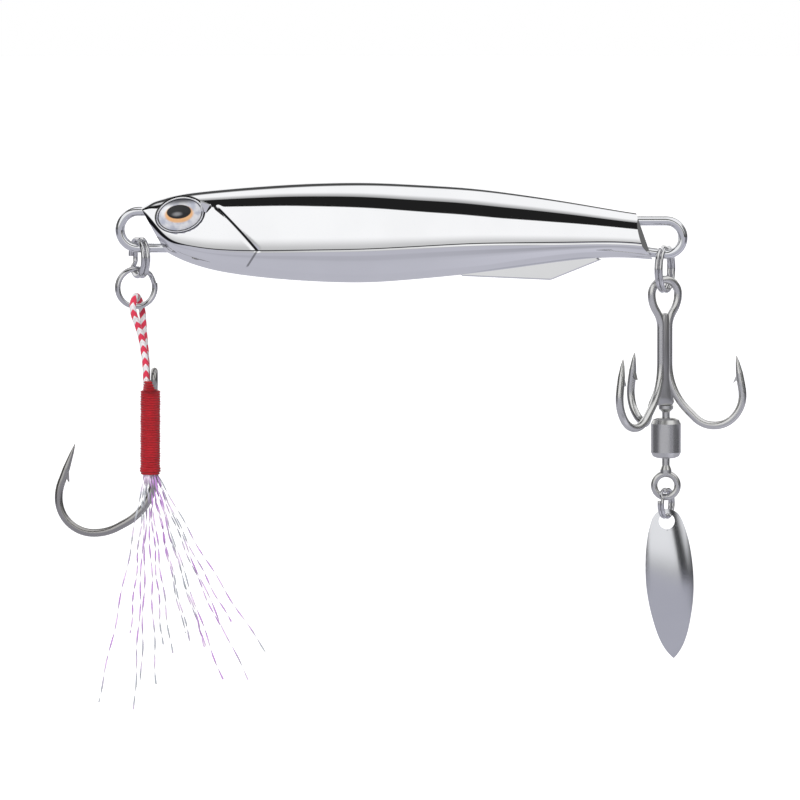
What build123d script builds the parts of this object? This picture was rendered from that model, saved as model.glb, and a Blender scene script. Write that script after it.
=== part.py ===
"""Chromed metal casting jig: cast body on a through wire, eyes, an assist hook on
two split rings at the nose, and a treble hook with swivel and willow blade at the tail.
Units are millimetres. Origin: centre of the nose loop. +X to the tail, -Y the left side, +Z up."""
import os
from math import cos, radians, sin, tan
from build123d import *

os.makedirs("parts", exist_ok=True)

# ---- driving dimensions ----
WIRE = 1.4                 # through wire diameter
NOSE_LOOP = 2.75           # centreline radius of the nose loop
TAIL_LOOP = 2.5            # centreline radius of the tail loop
TAIL_X = 79.1              # centre of the tail loop
TAIL_Z = -1.2
HANG = 0.12                # slack between two links that hang in each other
SWING_ROOM = 0.42          # the same where the upper link is a double coil, which the lower one rocks over
RING_WIRE = 0.7            # split ring wire
NOSE_RING_OD = 6.3
ASSIST_RING_OD = 6.4
TAIL_RING_WIRE = 0.62
TAIL_RING_OD = 7.25
BLADE_RING_WIRE = 0.5
BLADE_RING_OD = 4.7
HOOK_WIRE = 1.2
CORD = 1.0                 # assist cord diameter
THREAD_OD = 3.1            # whipping diameter
BARREL_OD = 4.5
SWIVEL_WIRE = 1.0
SHAFT = 1.15               # swivel shafts
SHAFT_CLEARANCE = 0.06     # radial, shaft in barrel
BLADE_THICKNESS = 0.45
TAIL_RING_X = TAIL_X - 0.2
TREBLE_X = TAIL_RING_X
SWIVEL_X = TREBLE_X + 0.2
BLADE_X = SWIVEL_X + 0.05

# cast body: station, top, mouth crease, bottom, half width
BODY_STATIONS = [
    (0.1, 3.1, 2.7, -2.2, 0.95),
    (0.9, 3.6, 2.3, -2.4, 1.45),
    (2.0, 4.2, 1.2, -2.6, 2.0),
    (3.4, 4.65, -0.4, -2.9, 2.5),
    (5.0, 5.1, -1.6, -3.8, 2.9),
    (7.5, 5.55, -2.2, -4.95, 3.25),
    (11.4, 6.0, -2.75, -6.1, 3.6),
    (17.0, 6.5, -2.95, -7.0, 3.9),
    (25.0, 7.0, -2.85, -7.7, 4.15),
    (34.0, 7.15, -2.7, -7.95, 4.2),
    (42.0, 6.8, -2.3, -7.4, 4.05),
    (50.0, 6.25, -1.9, -6.6, 3.65),
    (58.0, 5.2, -1.8, -5.55, 3.1),
    (65.0, 4.1, -1.75, -4.6, 2.6),
    (71.0, 3.05, -1.7, -4.15, 2.2),
    (75.0, 2.4, -1.9, -4.3, 1.95),
    (79.0, 1.9, -2.5, -4.7, 1.7),
]


def side(origin, across, normal):
    return Plane(origin=origin, x_dir=across, z_dir=normal)


def swept(run, diameter):
    """Round wire along a line."""
    with BuildPart(mode=Mode.PRIVATE) as made:
        with BuildSketch(Plane(origin=run @ 0, z_dir=run % 0)):
            Circle(diameter / 2)
        sweep(path=run)
    return made.part


def split_ring(centre, outer, wire, turned, lean, split_at):
    """Two-turn key ring. turned: plane direction about Z. lean: top of the ring towards +X."""
    radius = (outer - wire) / 2
    apart = wire * 0.52
    kink = 17                  # half the angle over which one turn steps over to the other
    frame = Plane(origin=centre, x_dir=(cos(radians(turned)), sin(radians(turned)), 0),
                  z_dir=(sin(radians(turned)), -cos(radians(turned)), 0)).rotated((0, 0, lean))
    with BuildLine(frame, mode=Mode.PRIVATE) as coil:
        near = CenterArc((0, 0, -apart), radius, split_at + kink, 360 - 2 * kink)
        far = CenterArc((0, 0, apart), radius, split_at + kink, 350 - 2 * kink, mode=Mode.PRIVATE)
        Spline(near @ 1, far @ 0, tangents=(near % 1, far % 0))
        add(far)
    return swept(coil.line, wire)


def at(azimuth, radius, height, centre_x):
    """A point at an azimuth and radius around an upright axis."""
    turn = radians(azimuth)
    return (centre_x + radius * cos(turn), radius * sin(turn), height)


# ---- through wire: nose loop, two legs, tail loop ----
LEG_TILT = 8
low_start = (TAIL_X - TAIL_LOOP * sin(radians(LEG_TILT)), TAIL_Z - TAIL_LOOP * cos(radians(LEG_TILT)))
low_bend = (low_start[0] - 9 * cos(radians(LEG_TILT)), low_start[1] + 9 * sin(radians(LEG_TILT)))
with BuildPart() as through_wire:
    with BuildLine(Plane.XZ) as wire_run:
        CenterArc((0, 0), NOSE_LOOP, 90, 180)
        FilletPolyline((0, -NOSE_LOOP), (9, -NOSE_LOOP), low_bend, low_start, radius=14)
        CenterArc((TAIL_X, TAIL_Z), TAIL_LOOP, -90 - LEG_TILT, 180 + LEG_TILT)
        FilletPolyline((TAIL_X, TAIL_Z + TAIL_LOOP), (TAIL_X - 5.6, TAIL_Z + TAIL_LOOP), (9, NOSE_LOOP),
                       (0, NOSE_LOOP), radius=14)
    with BuildSketch(Plane(origin=(0, 0, NOSE_LOOP), z_dir=(1, 0, 0))):
        Circle(WIRE / 2)
    sweep(path=wire_run.line)
through_wire.part.label = "through_wire"
export_step(through_wire.part, "parts/through_wire.step")

# ---- cast body ----
EYE_X = 6.35
EYE_Z = 2.3
EYE_TILT = 14              # the oval leans back
RIM_LONG = 7.2
RIM_SHORT = 5.1
EYE_LONG = 6.2
EYE_SHORT = 4.3
RIM_Y = 3.6                # how far the eye rim stands from the middle plane
SOCKET_Y = 2.75            # floor of the eye socket
FOIL = 0.2

GILL_WIDTH = 0.3
GILL_DEPTH = 0.14
KEEL = 0.9                 # thickness of the belly keel
KEEL_BEVEL = 0.25


def casting(inset):
    """Plain lofted casting; inset takes metal off its flanks."""
    with BuildPart(mode=Mode.PRIVATE) as made:
        for x, top, crease, bottom, half in BODY_STATIONS:
            rise = top - crease
            drop = crease - bottom
            with BuildSketch(side((x, 0, 0), (0, 1, 0), (1, 0, 0))):
                with BuildLine():
                    for out in (half - inset, inset - half):
                        Bezier((0, top), (out * 0.62, top), (out * 0.95, crease + rise * 0.62), (out, crease))
                        Bezier((out, crease), (out * 0.86, crease - drop * 0.48), (out * 0.52, bottom), (0, bottom))
                make_face()
        loft()
    return made.part


with BuildPart() as gill_grooves:
    with BuildSketch(Plane.XZ):
        with BuildLine():
            Polyline((11.85, 3.5), (14.8, 0.5), (17.85, -2.95), (16.4, -5.3))
        trace(line_width=GILL_WIDTH)
    extrude(amount=8, both=True)
    add(casting(GILL_DEPTH), mode=Mode.SUBTRACT)
with BuildPart() as keel:
    with BuildSketch(Plane.XZ):
        Polygon((46.5, -5.5), (48.5, -6.95), (61.8, -7.55), (69.4, -4.5), (66, -3), align=None)
    extrude(amount=KEEL / 2, both=True)
    chamfer(keel.edges().filter_by(Axis.Y, reverse=True), KEEL_BEVEL)

with BuildPart() as body:
    add(casting(0))
    add(gill_grooves.part, mode=Mode.SUBTRACT)
    add(keel.part)
    # slanted front and tail faces
    with BuildSketch(Plane.XZ):
        Polygon((-6, 12), (-6, -12), (9.04, -12), (3.84, -2.8), (0.62, 2.9), (-4.5, 12), align=None)
        Polygon((TAIL_X + 11, 12), (TAIL_X + 11, -12), (TAIL_X + 0.54, -12), (TAIL_X - 4.5, 2.4), (TAIL_X - 7.9, 12),
                align=None)
    extrude(amount=10, both=True, mode=Mode.SUBTRACT)
    # raised eye rims with a drawn-out rear corner
    for hand in (-1, 1):
        rim_plane = side((EYE_X, 0, EYE_Z), (cos(radians(EYE_TILT)), 0, sin(radians(EYE_TILT))), (0, hand, 0))
        with BuildSketch(rim_plane) as rim_sketch:
            Ellipse(RIM_LONG / 2, RIM_SHORT / 2)
            reach = hand * -1
            Polygon((1.6, reach * 2.25), (4.55, reach * -0.45), (3.1, reach * -1.2), (1.0, 0), align=None)
        extrude(rim_sketch.sketch, amount=RIM_Y)
        with BuildSketch(rim_plane.offset(SOCKET_Y)):
            Ellipse(EYE_LONG / 2, EYE_SHORT / 2)
        extrude(amount=4, mode=Mode.SUBTRACT)
    add(through_wire.part, mode=Mode.SUBTRACT)
body.part.label = "body"
export_step(body.part, "parts/body.step")
print("body volume", round(body.part.volume, 1), "solids", len(body.part.solids()))

# ---- eyes ----
for hand, name in ((-1, "left"), (1, "right")):
    eye_plane = side((EYE_X, 0, EYE_Z), (cos(radians(EYE_TILT)), 0, sin(radians(EYE_TILT))), (0, hand, 0))
    with BuildPart() as eye_foil:
        with BuildSketch(eye_plane.offset(SOCKET_Y)):
            Ellipse(EYE_LONG / 2 - 0.02, EYE_SHORT / 2 - 0.02)
        extrude(amount=FOIL)
    eye_foil.part.label = "eye_foil_" + name
    export_step(eye_foil.part, "parts/eye_foil_" + name + ".step")
    with BuildPart() as eye_dome:
        with BuildSketch(eye_plane.offset(SOCKET_Y + FOIL)):
            Ellipse(EYE_LONG / 2 - 0.02, EYE_SHORT / 2 - 0.02)
        extrude(amount=3)
        with Locations((EYE_X, hand * (SOCKET_Y + FOIL + 1.0 - 6.2), EYE_Z)):
            Sphere(6.2, mode=Mode.INTERSECT)
    eye_dome.part.label = "eye_dome_" + name
    export_step(eye_dome.part, "parts/eye_dome_" + name + ".step")

# ---- nose ring, assist ring, tail ring: each hangs in the link above ----
nose_ring_z = -NOSE_LOOP + WIRE / 2 + HANG + 0.2 - (NOSE_RING_OD / 2 - RING_WIRE)
with BuildPart() as nose_split_ring:
    add(split_ring((0.15, 0, nose_ring_z), NOSE_RING_OD, RING_WIRE, -59, -10, 205))
nose_split_ring.part.label = "nose_split_ring"
export_step(nose_split_ring.part, "parts/nose_split_ring.step")

nose_ring_floor = nose_ring_z - NOSE_RING_OD / 2 + RING_WIRE
assist_ring_z = nose_ring_floor + SWING_ROOM - (ASSIST_RING_OD / 2 - RING_WIRE)
with BuildPart() as assist_split_ring:
    add(split_ring((-0.33, 0, assist_ring_z), ASSIST_RING_OD, RING_WIRE, 14, 0, 40))
assist_split_ring.part.label = "assist_split_ring"
export_step(assist_split_ring.part, "parts/assist_split_ring.step")

tail_leg_top = TAIL_Z - TAIL_LOOP + WIRE / 2
tail_ring_z = tail_leg_top + HANG - (TAIL_RING_OD / 2 - TAIL_RING_WIRE)
with BuildPart() as tail_split_ring:
    add(split_ring((TAIL_RING_X, 0, tail_ring_z), TAIL_RING_OD, TAIL_RING_WIRE, 72, 0, 100))
tail_split_ring.part.label = "tail_split_ring"
export_step(tail_split_ring.part, "parts/tail_split_ring.step")

# ---- assist cord: up one side of the shank, over the ring, down the other side ----
assist_ring_floor = assist_ring_z - ASSIST_RING_OD / 2 + RING_WIRE
over = assist_ring_floor + CORD / 2 + SWING_ROOM
BIND_X = 1.77              # axis of the whipping
BIND_TOP = -22.7
BIND_END = -36.8
cord_points = [
    (BIND_X - 0.45, -0.52, BIND_END + 0.6), (BIND_X - 0.47, -0.52, BIND_TOP + 0.4), (0.75, -0.56, -17.6),
    (0.2, -0.85, -15.0), (-0.95, -1.55, over - 1.7), (-0.6, -1.35, over + 0.25), (-0.15, 1.5, over + 0.3),
    (0.55, 1.85, over - 1.8), (0.75, 1.0, -15.2), (1.0, 0.56, -17.8), (BIND_X - 0.46, 0.52, BIND_TOP + 0.4),
    (BIND_X - 0.45, 0.52, BIND_END + 0.6),
]


def bend_radii(points, share=0.45):
    """Largest arcs that fit in the runs beside each corner."""
    radii = []
    for before, corner, after in zip(points[:-2], points[1:-1], points[2:]):
        back = Vector(corner) - Vector(before)
        ahead = Vector(after) - Vector(corner)
        half_turn = radians(back.get_angle(ahead)) / 2
        radii.append(share * min(back.length, ahead.length) / tan(half_turn))
    return radii


cord_radii = bend_radii(cord_points)
print("cord radii", [round(radius, 2) for radius in cord_radii])
with BuildPart() as assist_cord:
    with BuildLine() as cord_run:
        FilletPolyline(*cord_points, radius=cord_radii)
    add(swept(cord_run.line, CORD))
print("cord length", round(cord_run.wires()[0].length, 2))
assist_cord.part.label = "assist_cord"
export_step(assist_cord.part, "parts/assist_cord.step")

# ---- assist hook ----
SHANK_X = BIND_X + 0.55
EYE_CENTRE = -22.55
BEND_BOTTOM = -45.6
POINT_X = -12.02           # outer side of the bend
POINT_LEAN = 19.7          # the point leans in by this angle
POINT_LENGTH = 5.95


def point_and_barb(base, tip, inward, wire):
    """Tapered point from base to tip with a barb cut up on the inward side."""
    reach = Vector(tip) - Vector(base)
    turned_in = Vector(inward)
    with BuildPart(mode=Mode.PRIVATE) as made:
        for share, thickness in ((0, wire), (0.35, wire * 0.9), (0.75, wire * 0.5), (1, 0.1)):
            with BuildSketch(Plane(origin=Vector(base) + reach * share, z_dir=reach)):
                Circle(thickness / 2)
        loft(ruled=True)
        across = turned_in.cross(reach).normalized()
        flat = Plane(origin=base, x_dir=reach.normalized(), z_dir=across)
        if flat.y_dir.dot(turned_in) < 0:
            flat = Plane(origin=base, x_dir=reach.normalized(), z_dir=across * -1)
        with BuildSketch(flat):
            Polygon((reach.length * 0.36, wire * 0.3), (0.1, wire * 0.98), (reach.length * 0.12, wire * 0.3),
                    align=None)
        extrude(amount=wire * 0.22, both=True)
    return made.part


with BuildPart() as assist_hook:
    with BuildLine(Plane.XZ) as bend:
        FilletPolyline((SHANK_X, -24.2), (SHANK_X, BEND_BOTTOM + 3.84), (SHANK_X - 7.16, BEND_BOTTOM),
                       (POINT_X + 3.07, BEND_BOTTOM), (POINT_X, BEND_BOTTOM + 3.07), (POINT_X, BEND_BOTTOM + 6.48),
                       (POINT_X + 0.47, BEND_BOTTOM + 7.8), radius=[8.1, 7.5, 5.2, 5.2, 6.5])
    add(swept(bend.line, HOOK_WIRE))
    with Locations(side((SHANK_X + 0.05, 0, EYE_CENTRE), (0, 1, 0), (1, 0, 0))):
        Torus(1.35, 0.5)
    point_base = bend.line @ 1
    add(point_and_barb(point_base, point_base + (bend.line % 1) * POINT_LENGTH, (1, 0, 0.2), HOOK_WIRE))
    add(assist_cord.part, mode=Mode.SUBTRACT)
assist_hook.part.label = "assist_hook"
export_step(assist_hook.part, "parts/assist_hook.step")
print("hook solids", len(assist_hook.part.solids()))

# ---- whipping ----
with BuildPart() as assist_thread:
    with BuildSketch(Plane.XZ):
        with BuildLine():
            Polyline((0, BIND_TOP), (0.95, BIND_TOP), (1.15, BIND_TOP - 0.25), (1.2, BIND_TOP - 1.35),
                     (THREAD_OD / 2 - 0.08, BIND_TOP - 1.7), (THREAD_OD / 2, BIND_TOP - 2.4),
                     (THREAD_OD / 2, BIND_END + 2.0), (THREAD_OD / 2 + 0.05, BIND_END + 0.8),
                     (THREAD_OD / 2 - 0.15, BIND_END), (0, BIND_END), close=True)
        make_face()
    revolve(axis=Axis.Z)
thread_solid = assist_thread.part.moved(Location((BIND_X, 0, 0)))
with BuildPart() as assist_thread:
    add(thread_solid)
    add(assist_cord.part, mode=Mode.SUBTRACT)
    add(assist_hook.part, mode=Mode.SUBTRACT)
assist_thread.part.label = "assist_thread"
export_step(assist_thread.part, "parts/assist_thread.step")
print("thread solids", len(assist_thread.part.solids()))

# ---- flash fibres: tip X, tip Y, tip Z of each strand ----
FIBRE_TIPS = [
    (-6.1, -2.4, -70.9), (-1.3, -1.9, -60.5), (-0.7, -3.4, -71.9), (0.2, 2.2, -68.6), (2.6, -1.5, -68.3),
    (3.5, 1.9, -62.6), (5.0, -2.6, -63.5), (6.9, 0.9, -60.8), (7.7, -0.7, -62.0), (9.9, 2.6, -63.1),
    (10.2, -1.8, -62.6), (12.6, -3.0, -67.4), (12.0, 1.5, -59.6), (13.8, -0.9, -58.9), (16.4, 1.1, -67.9),
    (19.4, -0.4, -64.0),
]
with BuildPart() as flash_fibres:
    with BuildSketch(Plane.XY.offset(BIND_END - 0.35)):
        with Locations((BIND_X, 0)):
            Circle(1.3)
        with Locations((SHANK_X, 0)):
            Circle(HOOK_WIRE / 2 + 0.03, mode=Mode.SUBTRACT)
        with Locations((BIND_X + 0.7, 0)):
            Rectangle(1.6, 1.22, mode=Mode.SUBTRACT)
    extrude(amount=0.35)
    for place, tip in enumerate(FIBRE_TIPS):
        front = -1 if tip[1] < 0 else 1
        root = Vector(BIND_X - 0.9 + 1.8 * place / 15, front * (0.95 - 0.3 * abs(place / 7.5 - 1)), BIND_END - 0.1)
        middle = root * 0.6 + Vector(tip) * 0.4 + Vector(-0.035 * (tip[0] - root.X), front * 0.35, 0)
        with BuildLine() as strand:
            ThreePointArc(root, middle, tip)
        with BuildSketch(Plane(origin=root, x_dir=(cos(place * 1.3), sin(place * 1.3), 0), z_dir=strand.line % 0)):
            Rectangle(0.26, 0.1)
        sweep(path=strand.line)
flash_fibres.part.label = "flash_fibres"
export_step(flash_fibres.part, "parts/flash_fibres.step")
print("fibre solids", len(flash_fibres.part.solids()))

# ---- treble hook ----
TREBLE_EYE_PLANE = 25
SHANK_GAP = 0.62           # half the distance between the double wire's shanks
SINGLE_OUT = 1.09          # axis of the third shank, in the groove of the other two
EYE_WIDE = 2.2             # centreline radius of the treble's eye
EYE_TOP = -7.5             # centreline of the wire at the top of the eye
BEND_LOW = -29.4           # centreline of the wire at the bottom of the bend
BEND_OUT = 11.68


def bent_hook(azimuth, shank_azimuth, shank_radius, shank_top):
    """Straight shank, flared round bend, point and barb, all in one upright plane."""
    reach = BEND_OUT - shank_radius * cos(radians(azimuth - shank_azimuth))
    upright = side(at(shank_azimuth, shank_radius, 0, TREBLE_X), (cos(radians(azimuth)), sin(radians(azimuth)), 0),
                   (sin(radians(azimuth)), -cos(radians(azimuth)), 0))
    with BuildLine(upright, mode=Mode.PRIVATE) as run:
        FilletPolyline((0, shank_top), (0, BEND_LOW + 5.18), (5.18, BEND_LOW), (reach - 2.6, BEND_LOW),
                       (reach + 0.35, BEND_LOW + 2.95), (reach - 0.25, BEND_LOW + 6.5), radius=[10, 3.9, 3.9, 4.8])
    base = run.line @ 1
    with BuildPart(mode=Mode.PRIVATE) as made:
        add(swept(run.line, HOOK_WIRE))
        add(point_and_barb(base, base + (run.line % 1) * 4.06,
                           (-cos(radians(azimuth)), -sin(radians(azimuth)), 0), HOOK_WIRE))
    return made.part


shank_start = EYE_TOP - EYE_WIDE - 5.0
left_hook = bent_hook(235, TREBLE_EYE_PLANE + 180, SHANK_GAP, shank_start)
eye_flat = side((TREBLE_X, 0, EYE_TOP - EYE_WIDE), (cos(radians(TREBLE_EYE_PLANE)), sin(radians(TREBLE_EYE_PLANE)), 0),
                (sin(radians(TREBLE_EYE_PLANE)), -cos(radians(TREBLE_EYE_PLANE)), 0))
with BuildPart() as treble_double_hook:
    with BuildLine(eye_flat) as eye_loop:
        FilletPolyline((SHANK_GAP, -5.0), (SHANK_GAP, -3.75), (EYE_WIDE, -1.3), (EYE_WIDE, 0), radius=[4.0, 4.4])
        CenterArc((0, 0), EYE_WIDE, 0, 180)
        FilletPolyline((-EYE_WIDE, 0), (-EYE_WIDE, -1.3), (-SHANK_GAP, -3.75), (-SHANK_GAP, -5.0), radius=[4.4, 4.0])
    add(swept(eye_loop.line, HOOK_WIRE))
    add(left_hook)
    add(left_hook.mirror(Plane(origin=(TREBLE_X, 0, 0), z_dir=at(TREBLE_EYE_PLANE, 1, 0, 0))))
treble_double_hook.part.label = "treble_double_hook"
export_step(treble_double_hook.part, "parts/treble_double_hook.step")
print("double hook solids", len(treble_double_hook.part.solids()))

with BuildPart() as treble_single_hook:
    add(bent_hook(115, 115, SINGLE_OUT, shank_start))
treble_single_hook.part.label = "treble_single_hook"
export_step(treble_single_hook.part, "parts/treble_single_hook.step")
print("single hook solids", len(treble_single_hook.part.solids()))

core = at(115, 0.36, 0, TREBLE_X)
SOLDER_END = -26.4
with BuildPart() as treble_solder:
    with BuildSketch(Plane.XY.offset(-14.2)):
        with Locations((core[0], core[1])):
            Circle(0.85)
    with BuildSketch(Plane.XY.offset(-21.5)):
        with Locations((core[0], core[1])):
            Circle(0.95)
    with BuildSketch(Plane.XY.offset(-24.6)):
        with Locations((TREBLE_X, 0)):
            Circle(1.7)
    with BuildSketch(Plane.XY.offset(SOLDER_END)):
        with Locations((TREBLE_X, 0)):
            Circle(1.5)
    loft(ruled=True)
    add(treble_double_hook.part, mode=Mode.SUBTRACT)
    add(treble_single_hook.part, mode=Mode.SUBTRACT)
solder_solid = treble_solder.part.solids().sort_by(SortBy.VOLUME)[-1]
with BuildPart() as treble_solder:
    add(solder_solid)
treble_solder.part.label = "treble_solder"
export_step(treble_solder.part, "parts/treble_solder.step")
print("solder solids", len(treble_solder.part.solids()))

# ---- barrel swivel ----
BARREL_TOP = -28.3
BARREL_END = -34.3


def turned_part(points, centre_x):
    """Turned piece from (radius, height) points around an upright axis."""
    with BuildPart(mode=Mode.PRIVATE) as made:
        with BuildSketch(side((0, 0, 0), (1, 0, 0), (0, -1, 0))):
            with BuildLine():
                Polyline(*points, close=True)
            make_face()
        revolve(axis=Axis.Z)
    return made.part.moved(Location((centre_x, 0, 0)))


shaft_r = SHAFT / 2
hole_r = shaft_r + SHAFT_CLEARANCE
half_barrel = BARREL_OD / 2
with BuildPart() as swivel_stem:
    add(turned_part([(0, SOLDER_END - 0.02), (1.1, SOLDER_END - 0.02), (1.1, SOLDER_END - 0.5),
                     (shaft_r, SOLDER_END - 1.0), (shaft_r, BARREL_TOP - 1.35), (1.25, BARREL_TOP - 1.55),
                     (1.25, BARREL_TOP - 2.15), (0, BARREL_TOP - 2.6)], SWIVEL_X))
swivel_stem.part.label = "swivel_stem"
export_step(swivel_stem.part, "parts/swivel_stem.step")

with BuildPart() as swivel_barrel:
    add(turned_part([(hole_r, BARREL_TOP), (1.35, BARREL_TOP), (1.95, BARREL_TOP - 0.25),
                     (half_barrel, BARREL_TOP - 0.85), (half_barrel, BARREL_END + 0.85), (1.95, BARREL_END + 0.25),
                     (1.35, BARREL_END), (hole_r, BARREL_END), (hole_r, BARREL_END + 0.9), (1.65, BARREL_END + 1.25),
                     (1.65, BARREL_TOP - 1.25), (hole_r, BARREL_TOP - 0.9)], SWIVEL_X))
swivel_barrel.part.label = "swivel_barrel"
export_step(swivel_barrel.part, "parts/swivel_barrel.step")

SWIVEL_EYE_OD = 4.5
eye_bottom = -40.7
eye_mid = eye_bottom + SWIVEL_EYE_OD / 2
with BuildPart() as swivel_eye:
    add(turned_part([(0, BARREL_END + 2.6), (1.25, BARREL_END + 2.15), (1.25, BARREL_END + 1.55),
                     (shaft_r, BARREL_END + 1.35), (shaft_r, BARREL_END - 1.1), (0.85, BARREL_END - 1.8),
                     (0.85, BARREL_END - 2.3), (0, BARREL_END - 2.45)], SWIVEL_X))
    with Locations(side((SWIVEL_X, 0, eye_mid), (1, 0, 0), (0, -1, 0))):
        Torus((SWIVEL_EYE_OD - SWIVEL_WIRE) / 2, SWIVEL_WIRE / 2)
swivel_eye.part.label = "swivel_eye"
export_step(swivel_eye.part, "parts/swivel_eye.step")

# ---- blade ring and willow blade ----
blade_ring_z = eye_bottom + SWIVEL_WIRE + SWING_ROOM - (BLADE_RING_OD / 2 - BLADE_RING_WIRE)
with BuildPart() as blade_split_ring:
    add(split_ring((BLADE_X, 0, blade_ring_z), BLADE_RING_OD, BLADE_RING_WIRE, 66, 0, 150))
blade_split_ring.part.label = "blade_split_ring"
export_step(blade_split_ring.part, "parts/blade_split_ring.step")

HOLE = 2.4
BLADE_LONG = 22.5
BLADE_WIDE = 7.15
blade_ring_floor = blade_ring_z - BLADE_RING_OD / 2 + BLADE_RING_WIRE
hole_z = blade_ring_floor + HANG * 3 - HOLE / 2
blade_top = hole_z + HOLE / 2 + 0.6
BLADE_TILT = 3.0
BLADE_BACK = -0.67         # brings the hole of the dished blade over the ring
leaf = [
    (0, 0), (1.55, -0.6), (2.5, -2.3), (3.45, -7.2), (3.5, -12.4), (2.75, -16.9), (0.9, -21.5), (0, -BLADE_LONG),
]
with BuildPart() as spinner_blade:
    with BuildSketch(side((0, 0, 0), (0, -1, 0), (-1, 0, 0))):
        middle = -BLADE_LONG / 2 - 0.5
        with BuildLine():
            outer_face = ThreePointArc((-1.6, -26), (0.1 + BLADE_THICKNESS, middle), (-1.6, 3))
            Line(outer_face @ 1, (-1.6 - BLADE_THICKNESS, 3))
            inner_face = ThreePointArc((-1.6 - BLADE_THICKNESS, 3), (0.1, middle), (-1.6 - BLADE_THICKNESS, -26))
            Line(inner_face @ 1, (-1.6, -26))
        make_face()
    revolve(axis=Axis((0, 6.5, 0), (0, 0, 1)))
    with BuildSketch(side((0, 0, 0), (1, 0, 0), (0, -1, 0))):
        with BuildLine():
            Spline(*leaf[::-1], *[(-across, down) for across, down in leaf[1:]])
        make_face()
        with Locations((0, hole_z - blade_top)):
            Circle(HOLE / 2, mode=Mode.SUBTRACT)
    extrude(amount=5, both=True, mode=Mode.INTERSECT)
blade_solid = spinner_blade.part.rotate(Axis.Y, -BLADE_TILT).moved(Location((BLADE_X, BLADE_BACK, blade_top)))
with BuildPart() as spinner_blade:
    add(blade_solid)
spinner_blade.part.label = "spinner_blade"
print("blade", spinner_blade.part.bounding_box(), "solids", len(spinner_blade.part.solids()))
export_step(spinner_blade.part, "parts/spinner_blade.step")
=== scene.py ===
"""Metal casting jig with an assist hook and a spinner blade: finishes, cord, whipping, tinsel and stage."""
import math

import bmesh
import bpy
from mathutils import Matrix, Vector
from mathutils.geometry import interpolate_bezier


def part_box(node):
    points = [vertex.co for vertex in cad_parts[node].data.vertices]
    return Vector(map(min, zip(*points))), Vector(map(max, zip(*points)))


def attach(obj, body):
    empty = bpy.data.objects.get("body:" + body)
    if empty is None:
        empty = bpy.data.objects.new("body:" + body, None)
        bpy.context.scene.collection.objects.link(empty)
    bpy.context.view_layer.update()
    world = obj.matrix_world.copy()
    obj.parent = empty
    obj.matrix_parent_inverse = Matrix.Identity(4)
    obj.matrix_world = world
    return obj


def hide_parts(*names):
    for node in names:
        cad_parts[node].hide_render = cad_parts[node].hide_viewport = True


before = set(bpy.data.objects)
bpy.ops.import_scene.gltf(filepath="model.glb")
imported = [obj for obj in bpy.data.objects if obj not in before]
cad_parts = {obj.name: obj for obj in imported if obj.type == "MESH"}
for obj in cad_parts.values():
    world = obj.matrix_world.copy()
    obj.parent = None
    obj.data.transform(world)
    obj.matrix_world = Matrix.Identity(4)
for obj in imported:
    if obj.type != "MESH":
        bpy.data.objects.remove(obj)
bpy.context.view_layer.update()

bl_info = {
    "name": "Casting jig",
    "version": (1, 0, 0),
    "blender": (4, 5, 0),
    "location": "View3D > Sidebar > Casting jig",
    "description": "Dresses a metal casting jig with its finishes, cord, whipping, tinsel and stage",
    "category": "Object",
}

MM = 0.001

# Lengths are in millimetres, angles in radians and reaches are shares, unless a comment says otherwise.

# assist cord: up beside the shank, over the ring and down again
CORD_ROUTE = [
    (1.32, -0.52, -36.2), (1.3, -0.52, -22.3), (0.75, -0.56, -17.6), (0.2, -0.85, -15.0),
    (-0.95, -1.55, -11.99), (-0.6, -1.35, -10.04), (-0.15, 1.5, -9.99), (0.55, 1.85, -12.09),
    (0.75, 1.0, -15.2), (1.0, 0.56, -17.8), (1.31, 0.52, -22.3), (1.32, 0.52, -36.2),
]
CORD_SIDES = 24
BRAID_PITCH = 1.9
BRAID_SLANT = 0.85

# whipping: length of the collar at its top; the rest are shares of its own width, or of a turn's height
COLLAR = 1.5
COLLAR_SQUASH_X, COLLAR_SQUASH_Y = 0.94, 1.6
COLLAR_REACH = 0.76
TURN_REACH = 0.985
SHOULDER_REACH = 1.03
END_REACH = 0.93
TURN_GROOVE = 0.42
TURN_STEPS = 6
TURN_SIDES = 56
TURN_LEAN = 0.004

# casting: place along it, top, crease, bottom, half width
CASTING_SECTIONS = [
    (0.1, 3.1, 2.7, -2.2, 0.95), (0.9, 3.6, 2.3, -2.4, 1.45), (2.0, 4.2, 1.2, -2.6, 2.0),
    (3.4, 4.65, -0.4, -2.9, 2.5), (5.0, 5.1, -1.6, -3.8, 2.9), (7.5, 5.55, -2.2, -4.95, 3.25),
    (11.4, 6.0, -2.75, -6.1, 3.6), (17.0, 6.5, -2.95, -7.0, 3.9), (25.0, 7.0, -2.85, -7.7, 4.15),
    (34.0, 7.15, -2.7, -7.95, 4.2), (42.0, 6.8, -2.3, -7.4, 4.05), (50.0, 6.25, -1.9, -6.6, 3.65),
    (58.0, 5.2, -1.8, -5.55, 3.1), (65.0, 4.1, -1.75, -4.6, 2.6), (71.0, 3.05, -1.7, -4.15, 2.2),
    (75.0, 2.4, -1.9, -4.3, 1.95), (79.0, 1.9, -2.5, -4.7, 1.7),
]
SECTION_BLEND, SECTION_BLEND_AT_NOSE = 2.5, 0.12
# handles of a section's curves, as shares of its half width and of its height over or under the crease
UPPER_HANDLES = ((0.62, 1.0), (0.95, 0.62))
LOWER_HANDLES = ((0.86, 0.48), (0.52, 1.0))
UPPER_ROWS, LOWER_ROWS = 36, 26
NOSE_COLUMNS, TAIL_COLUMNS = 96, 124
NOSE_X, GILL_END_X, TAIL_X = 0.1, 19, 79
NOSE_FACE = ((0.62, 2.9), (3.84, -2.8))
TAIL_FACE = ((74.6, 2.4), (79.64, -12.0))
TAIL_FLAT = 1.15
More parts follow.
